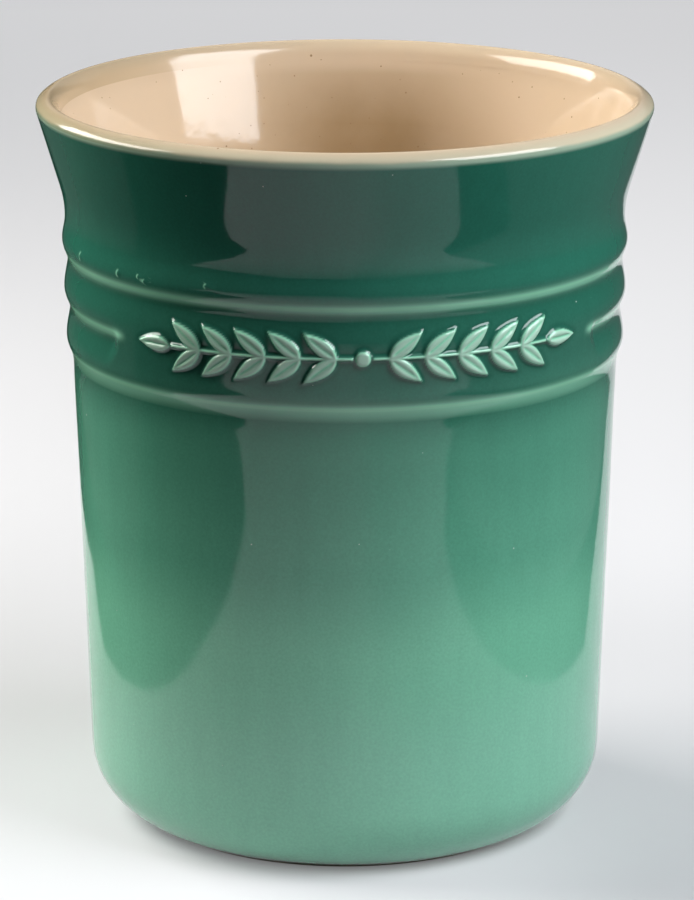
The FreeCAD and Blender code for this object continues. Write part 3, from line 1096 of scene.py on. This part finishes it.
def turned(outline: list[Point], columns: int, closed: bool) -> bmesh.types.BMesh:
    """Turns an outline about the crock's axis.

    Args:
        outline: The (radius, height) points.
        columns: Steps in a full turn.
        closed: True to join the last point to the first.

    Returns:
        A closed mesh with its faces outwards.
    """
    mesh = bmesh.new()
    ring = [mesh.verts.new((radius, 0.0, height)) for radius, height in outline]
    edges = [mesh.edges.new(pair) for pair in zip(ring, ring[1:])]
    if closed:
        edges.append(mesh.edges.new((ring[-1], ring[0])))
    bmesh.ops.spin(mesh, geom=[*ring, *edges], cent=(0, 0, 0), axis=(0, 0, 1),
                   angle=math.tau, steps=columns, use_merge=True)
    bmesh.ops.remove_doubles(mesh, verts=mesh.verts, dist=TINY)
    bmesh.ops.recalc_face_normals(mesh, faces=mesh.faces)
    return mesh


def finished(mesh: bmesh.types.BMesh, name: str, slot: Slot,
             material: bpy.types.Material) -> bpy.types.Object:
    """Makes a coat of its mesh, in place of the solid of the same name.

    Args:
        mesh: The finished mesh, which is freed.
        name: Name of the solid that it stands for.
        slot: Material slot of the record; not used.
        material: Its finish.

    Returns:
        The new piece.
    """
    for face in mesh.faces:
        face.smooth = True
    for edge in mesh.edges:
        edge.smooth = edge.calc_face_angle(0.0) < SHARP
    data = bpy.data.meshes.new(f"{name}_face")
    mesh.to_mesh(data)
    mesh.free()
    data.materials.append(material)
    piece = bpy.data.objects.new(f"{name}_face", data)
    bpy.context.scene.collection.objects.link(piece)
    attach(piece, "root")
    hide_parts(name)
    return piece


@dataclass
class OuterGlaze:
    """The green coat on the outside, with its rings, its panel and the sprig raised on it."""

    form: CrockForm
    wobble: Wobble
    finish: GreenGlaze
    garland: Garland = field(default_factory=Garland)
    columns: int = 300
    face_step: float = 2.4 * MM
    face_cuts: int = 6
    back_step: float = 12.0 * MM
    back_cuts: int = 2
    notch_fade: float = 4.0 * MM
    pale_lead: float = math.radians(2.2)
    notch_fill: float = 1.8 * MM
    swell: float = 0.2 * MM
    waist_drop: float = 1.0 * MM
    edge: float = 0.66
    low_edge: float = 0.68
    edge_at: float = 0.22
    edge_half: float = 0.42
    run: float = 2.6 * MM
    low_run: float = 5.5 * MM
    sunk: Point = (0.35, -0.05)
    foot_thin: float = 0.3
    foot_fade: float = 1.0 * MM
    crown: Point = (0.35, 0.95)
    halo: float = 0.7
    halo_at: float = 0.35 * MM
    halo_half: float = 0.8 * MM
    fill_weights: tuple[int, ...] = (1, 2, 3, 2, 1)
    cuts_across: int = 3
    cuts_up: int = 1
    blister_cuts: int = 4
    blisters: tuple[Blister, ...] = (
        Blister(math.radians(-66.0), 121.6 * MM, 1.05 * MM),
        Blister(math.radians(-50.5), 121.2 * MM, 0.95 * MM),
        Blister(math.radians(-44.5), 121.6 * MM, 0.60 * MM),
        Blister(math.radians(-42.8), 120.9 * MM, 0.58 * MM),
        Blister(math.radians(-41.2), 121.3 * MM, 0.50 * MM),
        Blister(math.radians(-27.8), 122.0 * MM, 0.65 * MM),
        Blister(math.radians(-26.4), 121.5 * MM, 0.55 * MM),
    )

    def build(self) -> bpy.types.Object:
        """Builds the coat and dresses it.

        Returns:
            The piece.
        """
        rings = self._face_form().outside()
        face = rings.points(self.face_step, self.face_cuts)
        back = self.form.outside(self.form.coat).points(self.back_step, self.back_cuts)
        mesh = turned([*face, *reversed(back)], self.columns, closed=True)
        side = mesh.verts.layers.float.new(Layer.SIDE.value)
        for vertex in mesh.verts:
            gap = rings.radius_at(vertex.co.z) - vertex.co.xy.length
            vertex[side] = 1.0 if gap > self.form.coat / 2 else 0.0
        self._refine(mesh, side)
        self._shape(mesh, side)
        mesh.verts.layers.float.remove(mesh.verts.layers.float[Layer.SIDE.value])
        material = self.finish.material(self.form)
        return finished(mesh, "outer_glaze", Slot.GREEN, material)

    def _face_form(self) -> CrockForm:
        """Returns the form of the glaze's face, a little fuller on the rings than the clay."""
        form = self.form
        return replace(form, ring_depth=form.ring_depth + self.swell,
                       waist_depth=form.waist_depth + self.swell,
                       flare_height=form.flare_height + self.waist_drop,
                       waist_rise=form.waist_rise - self.waist_drop)

    def _detailed(self, vertex: bmesh.types.BMVert, side: object) -> bool:
        """Tells whether a vertex lies where the sprig needs a finer mesh.

        Args:
            vertex: The vertex.
            side: Layer that is 1 on the coat's back.

        Returns:
            True on the face of the panel and a little beside it.
        """
        if vertex[side] > 0.0:
            return False
        turn, height = turn_of(vertex.co), vertex.co.z
        low, top = self.form.panel_span
        margin = 2 * self.notch_fade / self.form.body_radius
        on_panel = abs(turn - self.form.panel_turn) < self.form.panel_half + margin
        return on_panel and low - TINY < height < top + TINY

    def _refine(self, mesh: bmesh.types.BMesh, side: object) -> None:
        """Cuts the panel into smaller faces, first across and then upwards, and then the blisters.

        Args:
            mesh: The turned coat.
            side: Layer that is 1 on the coat's back.
        """
        for level, cuts in ((True, self.cuts_across), (False, self.cuts_up)):
            edges = []
            for edge in mesh.edges:
                first, second = edge.verts
                flat = abs(first.co.z - second.co.z) < TINY
                straight = abs(turn_of(first.co) - turn_of(second.co)) < TINY
                wanted = flat if level else straight and not flat
                if wanted and self._detailed(first, side) and self._detailed(second, side):
                    edges.append(edge)
            bmesh.ops.subdivide_edges(mesh, edges=edges, cuts=cuts)
        for blister in self.blisters:
            spot = {vertex for vertex in mesh.verts
                    if vertex[side] == 0.0 and blister.near(vertex.co, self.form)}
            faces = [face for face in mesh.faces if spot.issuperset(face.verts)]
            edges = list(dict.fromkeys(edge for face in faces for edge in face.edges))
            bmesh.ops.subdivide_edges(mesh, edges=edges, cuts=self.blister_cuts, use_grid_fill=True)

    def _shape(self, mesh: bmesh.types.BMesh, side: object) -> None:
        """Moves every vertex onto the true form and notes where the glaze is thin or pooled.

        Args:
            mesh: The refined coat.
            side: Layer that is 1 on the coat's back.
        """
        thin = mesh.verts.layers.float.new(Layer.THIN_AND_PAINTED_HIGHLIGHT.value)
        pool = mesh.verts.layers.float.new(Layer.POOL.value)
        early = replace(self.form, panel_half=self.form.panel_half - self.pale_lead)
        sections = {}
        for skin, form in ((0.0, self._face_form()), (self.form.coat, self.form)):
            sections[skin] = (form.outside(skin), form.outside(skin, plain=True))
        for vertex in mesh.verts:
            skin = self.form.coat if vertex[side] > 0.0 else 0.0
            rings, panel = sections[skin]
            turn, height = turn_of(vertex.co), vertex.co.z
            plain = self.form.panel_share(turn, height, self.notch_fade)
            clear = early.panel_share(turn, height, self.notch_fade)
            radius = self._filled(rings, height)
            radius += plain * (self._filled(panel, height) - radius)
            if skin == 0.0:
                raised, away = self._relief(turn, height, radius)
                vertex[thin], vertex[pool] = self._depth(height, clear, raised, away)
                # Painted highlight: a pale crescent on each blister's left, kept in one layer with the
                # glaze's real thinning.
                painted_highlights = (blister.pale(turn, height, radius) for blister in self.blisters)
                vertex[thin] = max(vertex[thin], *painted_highlights)
                place = Vector((radius * math.sin(turn), -radius * math.cos(turn), height))
                radius += raised - self.wobble.at(place)
            vertex.co = (radius * math.sin(turn), -radius * math.cos(turn), height)

    def _filled(self, section: Section, height: float) -> float:
        """Finds the radius at a height, with the glaze run together in the notches.

        Args:
            section: Section of the form without that.
            height: Height above the table.

        Returns:
            The radius there.
        """
        low = self.form.notch(0)[1] - 2 * self.notch_fill
        if not low < height < self.form.waist_z + self.form.flare_height / 2:
            return section.radius_at(height)
        half = len(self.fill_weights) // 2
        total = sum(weight * section.radius_at(height + (step - half) * self.notch_fill / half)
                    for step, weight in enumerate(self.fill_weights))
        return total / sum(self.fill_weights)

    def _relief(self, turn: float, height: float, radius: float) -> tuple[float, float]:
        """Works out what stands out of the rings and the panel.

        Args:
            turn: Angle about the axis.
            height: Height above the table.
            radius: Radius of the plain form there.

        Returns:
            How far it stands out, and the distance outside the sprig.
        """
        raised = sum(blister.at(turn, height, radius) for blister in self.blisters)
        along = (turn - self.form.panel_turn) * radius
        low, top = self.form.panel_span
        if abs(turn - self.form.panel_turn) > self.form.panel_half or not low < height < top:
            return raised, self.garland.leaf_length
        away, rib = self.garland.nearest(along, height - self.garland.middle_z)
        return raised + self.garland.height(away, rib), away

    def _depth(self, height: float, plain: float, raised: float, away: float) -> tuple[float, float]:
        """Works out how the glaze lies.

        Args:
            height: Height above the table.
            plain: 1 on the panel, 0 on the rings.
            raised: How far the sprig stands out.
            away: Distance outside the sprig.

        Returns:
            How thin the glaze is and how much of it has pooled, each from 0 to 1.
        """
        form = self.form
        thin = self.foot_thin * smooth_step(self.foot_fade, 0.0, height - form.glaze_line)
        pool = 0.0
        for ring in range(form.ring_count):
            share = 1.0 - plain if ring == form.panel_ring else 1.0
            up = (height - form.notch(ring)[1]) / form.edge_rise
            edge = math.exp(-((up - self.edge_at) / self.edge_half) ** 2)
            thin = max(thin, share * edge * (self.low_edge if ring == 0 else self.edge))
            run = self.low_run if ring == 0 else self.run
            sunk = smooth_step(*self.sunk, up) * math.exp(min(0.0, up * form.edge_rise) / run)
            pool = max(pool, share * sunk)
        crown = smooth_step(*self.crown, raised / self.garland.relief) if away < 0.0 else 0.0
        halo = self.halo * math.exp(-((away - self.halo_at) / self.halo_half) ** 2)
        return max(thin, crown), max(pool, halo) * (1.0 - crown)


@dataclass
class InnerGlaze:
    """The cream coat that lines the inside."""

    form: CrockForm
    finish: CreamGlaze
    wobble: Wobble = Wobble(depth=0.03 * MM)
    columns: int = 240
    step: float = 2.5 * MM
    cuts: int = 4
    back_step: float = 12.0 * MM
    back_cuts: int = 2
    easy_bend: float = 62.0 * MM

    def build(self) -> bpy.types.Object:
        """Builds the coat and dresses it.

        Returns:
            The piece.
        """
        face = replace(self.form, inner_waist_bend=self.easy_bend).inside().points(self.step, self.cuts)
        back = self.form.inside(self.form.coat).points(self.back_step, self.back_cuts)
        mesh = turned([*reversed(face), *back], self.columns, closed=False)
        settle(mesh, self.wobble)
        return finished(mesh, "inner_glaze", Slot.CREAM, self.finish.material(self.form))


@dataclass
class RimGlaze:
    """The pale band over the rounded lip."""

    form: CrockForm
    wobble: Wobble
    finish: RimFinish
    columns: int = 300
    step: float = 0.35 * MM
    back_step: float = 1.5 * MM
    back_cuts: int = 2

    def build(self) -> bpy.types.Object:
        """Builds the band and dresses it.

        Returns:
            The piece.
        """
        face = self.form.rim().points(self.step)
        back = self.form.rim(self.form.coat).points(self.back_step, self.back_cuts)
        mesh = turned([*face, *reversed(back)], self.columns, closed=True)
        across = mesh.verts.layers.float.new(Layer.ACROSS.value)
        last = self._round(*self.form.band_end())
        for vertex in mesh.verts:
            vertex[across] = self._round(vertex.co.xy.length, vertex.co.z) / last
        settle(mesh, self.wobble)
        return finished(mesh, "rim_glaze", Slot.RIM, self.finish.material())

    def _round(self, radius: float, height: float) -> float:
        """Returns how far round the lip a place lies, from 0 at its widest point, in radians."""
        angle = math.atan2(height - self.form.lip_z, radius - self.form.lip_r)
        return angle if angle > -math.pi / 2 else angle + math.tau


def settle(mesh: bmesh.types.BMesh, wobble: Wobble) -> None:
    """Moves a turned mesh in towards the axis by the unevenness of its surface.

    Args:
        mesh: The turned mesh.
        wobble: Its unevenness.
    """
    for vertex in mesh.verts:
        radius = vertex.co.xy.length
        if radius > wobble.length / 2:
            shrink = 1.0 - wobble.at(vertex.co) / radius
            vertex.co = (vertex.co.x * shrink, vertex.co.y * shrink, vertex.co.z)


@dataclass
class ClayBody:
    """The fired clay vessel and the coat under its floor, which keep the shape of their solids."""

    clay: bpy.types.Material
    coat: bpy.types.Material

    def dress(self) -> list[bpy.types.Object]:
        """Gives the two solids their finishes.

        Returns:
            The two solids.
        """
        dressed = []
        for name, material in (("stoneware_body", self.clay), ("underside_glaze", self.coat)):
            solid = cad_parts[name]
            solid.data.materials.clear()
            solid.data.materials.append(material)
            dressed.append(solid)
        return dressed


@dataclass(frozen=True)
class SoftBox:
    """One large soft lamp, aimed at the crock."""

    name: str
    turn: float
    rise: float
    distance: float
    width: float
    height: float
    power: float
    tone: Tone
    roll: float = 0.0
    reach: Reach = Reach.ALL

    def build(self, target: Vector) -> None:
        """Hangs the lamp.

        Args:
            target: The point that it faces.
        """
        data = bpy.data.lights.new(self.name, "AREA")
        data.shape = "RECTANGLE"
        data.size, data.size_y = self.width, self.height
        data.energy, data.color = self.power, self.tone.value
        lamp = bpy.data.objects.new(self.name, data)
        level = math.cos(self.rise)
        away = Vector((math.sin(self.turn) * level, -math.cos(self.turn) * level, math.sin(self.rise)))
        lamp.location = target + self.distance * away
        facing = away.to_track_quat("Z", "Y") @ Quaternion((0.0, 0.0, 1.0), self.roll)
        lamp.rotation_euler = facing.to_euler()
        lamp.visible_camera = False
        lamp.visible_diffuse = self.reach is not Reach.SHINE
        lamp.visible_glossy = self.reach is not Reach.LIGHT
        bpy.context.scene.collection.objects.link(lamp)


def staged(mesh: bmesh.types.BMesh, name: str, material: bpy.types.Material) -> bpy.types.Object:
    """Makes a sheet of the studio of its mesh.

    Args:
        mesh: The finished mesh, which is freed.
        name: Name of the sheet.
        material: Its finish.

    Returns:
        The sheet.
    """
    data = bpy.data.meshes.new(name)
    mesh.to_mesh(data)
    mesh.free()
    data.materials.append(material)
    sheet = bpy.data.objects.new(name, data)
    bpy.context.scene.collection.objects.link(sheet)
    return sheet


@dataclass
class Studio:
    """A strip of pale paper in a dim room, with a soft lamp on either side."""

    target: Vector
    paper: PaperFinish = field(default_factory=PaperFinish)
    edges: Edges = (
        (-2.500, -0.900, 0.900), (-0.300, -0.560, 0.560), (-0.245, -0.215, 0.235), (-0.228, -0.185, 0.190),
        (-0.205, -0.158, 0.158), (-0.150, -0.148, 0.143), (0.000, -0.131, 0.135), (0.060, -0.128, 0.133),
        (0.130, -0.148, 0.170), (0.250, -0.100, 0.200), (3.000, -0.100, 0.200),
    )
    ground_half: float = 5.0
    ground_drop: float = 0.5 * MM
    sky: Colour = (0.86, 0.865, 0.88)
    table: PaperFinish = field(default_factory=lambda: PaperFinish(
        (0.110, 0.111, 0.115), near_lift=0.015, far_lift=0.015, painted_lights=()))
    shelf: PaperFinish = field(default_factory=lambda: PaperFinish(
        (0.050, 0.051, 0.052), near_lift=0.005, far_lift=0.005, painted_lights=()))
    table_edges: Edges = ((-2.5, 0.20, 1.20), (3.0, 0.20, 1.20))
    shelf_edges: Edges = ((0.0, -1.20, -0.20), (3.0, -1.20, -0.20))
    mat: PaperFinish = field(default_factory=lambda: PaperFinish((0.590, 0.595, 0.610), painted_lights=()))
    mat_radius: float = 0.11
    mat_segments: int = 64
    mat_forward: float = 0.045
    mat_drop: float = 0.1 * MM
    dusk: float = 0.01
    lamps: tuple[SoftBox, ...] = (
        SoftBox("right_softbox", math.radians(62.5), math.radians(40.0), 0.58, 0.38, 0.360, 3.7,
                Tone.COOL, math.radians(-5.0), Reach.SHINE),
        SoftBox("right_light", math.radians(63.0), math.radians(40.0), 0.58, 0.44, 0.360, 4.05,
                Tone.COOL, reach=Reach.LIGHT),
        SoftBox("left_softbox", math.radians(-105.5), math.radians(33.5), 0.58, 0.51, 0.265, 3.8,
                Tone.WARM, math.radians(17.0), Reach.SHINE),
        SoftBox("left_light", math.radians(-112.0), math.radians(36.0), 0.58, 0.50, 0.335, 5.6,
                Tone.WARM, reach=Reach.LIGHT),
        SoftBox("rear_panel", math.radians(165.0), math.radians(42.0), 0.85, 1.20, 0.80, 0.9,
                Tone.EVEN),
    )

    def build(self) -> None:
        """Lays the paper, hangs the lamps and sets the room's light.

        Only the paper close around the crock throws light back on it.
        """
        material = self.paper.material()
        sheet = self._lay("paper_sheet", self.edges, 0.0, material)
        half = self.ground_half
        whole = ((-half, -half, half), (half, -half, half))
        ground = self._lay("ground", whole, -self.ground_drop, material)
        ground.visible_glossy = False
        sheet.visible_diffuse = ground.visible_diffuse = sheet.visible_shadow = False
        for name, edges, finish in (("right_table", self.table_edges, self.table),
                                    ("left_shelf", self.shelf_edges, self.shelf)):
            table = self._lay(name, edges, -self.ground_drop / 2, finish.material())
            table.visible_camera = table.visible_diffuse = table.visible_shadow = False
        self._lay_mat()
        for lamp in self.lamps:
            lamp.build(self.target)
        self._room()

    @staticmethod
    def _lay(name: str, edges: Edges, level: float, material: bpy.types.Material) -> bpy.types.Object:
        """Lays one flat sheet.

        Args:
            name: Name of the sheet.
            edges: Where it ends on the left and the right, from the front to the back, as (y, left, right).
            level: Its height.
            material: Its finish.

        Returns:
            The sheet.
        """
        mesh = bmesh.new()
        rows = len(edges) - 1
        bmesh.ops.create_grid(mesh, x_segments=1, y_segments=rows, size=1.0)
        for vertex in mesh.verts:
            row = round((vertex.co.y + 1.0) / 2.0 * rows)
            depth, left, right = edges[row]
            vertex.co = (left if vertex.co.x < 0.0 else right, depth, level)
        return staged(mesh, name, material)

    def _lay_mat(self) -> None:
        """Lays the round of paper whose light reaches the crock's foot."""
        mesh = bmesh.new()
        bmesh.ops.create_circle(mesh, cap_ends=True, segments=self.mat_segments, radius=self.mat_radius)
        bmesh.ops.translate(mesh, verts=mesh.verts, vec=(0.0, -self.mat_forward, -self.mat_drop))
        mat = staged(mesh, "mat", self.mat.material())
        mat.visible_camera = mat.visible_glossy = mat.visible_shadow = False

    def _room(self) -> None:
        """Sets a pale sky for the camera and a dim room for everything else."""
        world = bpy.data.worlds.new("room")
        world.use_nodes = True
        tree = world.node_tree
        shade = tree.nodes["Background"]
        rays = tree.nodes.new("ShaderNodeLightPath").outputs
        strength = tree.nodes.new("ShaderNodeMix")
        strength.inputs[2].default_value, strength.inputs[3].default_value = self.dusk, 1.0
        tree.links.new(rays["Is Camera Ray"], strength.inputs[0])
        tree.links.new(strength.outputs[0], shade.inputs["Strength"])
        shade.inputs["Color"].default_value = (*self.sky, 1.0)
        bpy.context.scene.world = world


@dataclass(frozen=True)
class PhotoCamera:
    """The camera at the photograph's place and angle."""

    distance: float = 0.900
    height: float = 0.3243
    tilt: float = 0.26953
    focal_px: float = 4544.0
    image_height_px: float = 900.0
    shift_px: Point = (2.1, -1.3)
    sensor_mm: float = 36.0

    def build(self) -> None:
        """Sets the camera up."""
        data = bpy.data.cameras.new("camera")
        data.sensor_width = self.sensor_mm
        data.lens = self.focal_px * self.sensor_mm / self.image_height_px
        data.shift_x, data.shift_y = (offset / self.image_height_px for offset in self.shift_px)
        camera = bpy.data.objects.new("camera", data)
        camera.location = (0.0, -self.distance, self.height)
        camera.rotation_euler = (math.pi / 2 - self.tilt, 0.0, 0.0)
        bpy.context.scene.collection.objects.link(camera)
        bpy.context.scene.camera = camera


def main() -> None:
    """Builds the crock's coats, dresses its clay and sets it in the studio."""
    logging.basicConfig(level=logging.INFO, format="%(name)s: %(message)s")
    bpy.context.scene.view_settings.view_transform = "Standard"
    form, wobble = CrockForm(), Wobble()
    builders: tuple[Callable[[], bpy.types.Object], ...] = (
        OuterGlaze(form, wobble, GreenGlaze()).build,
        RimGlaze(form, wobble, RimFinish()).build,
        InnerGlaze(form, CreamGlaze()).build,
    )
    pieces = [build() for build in builders]
    pieces += ClayBody(FiredClay().material(), pieces[0].data.materials[0]).dress()
    Studio(Vector((0.0, 0.0, form.height / 2))).build()
    PhotoCamera().build()
    for piece in pieces:
        log.info("%s: %d faces", piece.name, len(piece.data.polygons))


if __name__ == "__main__":
    main()
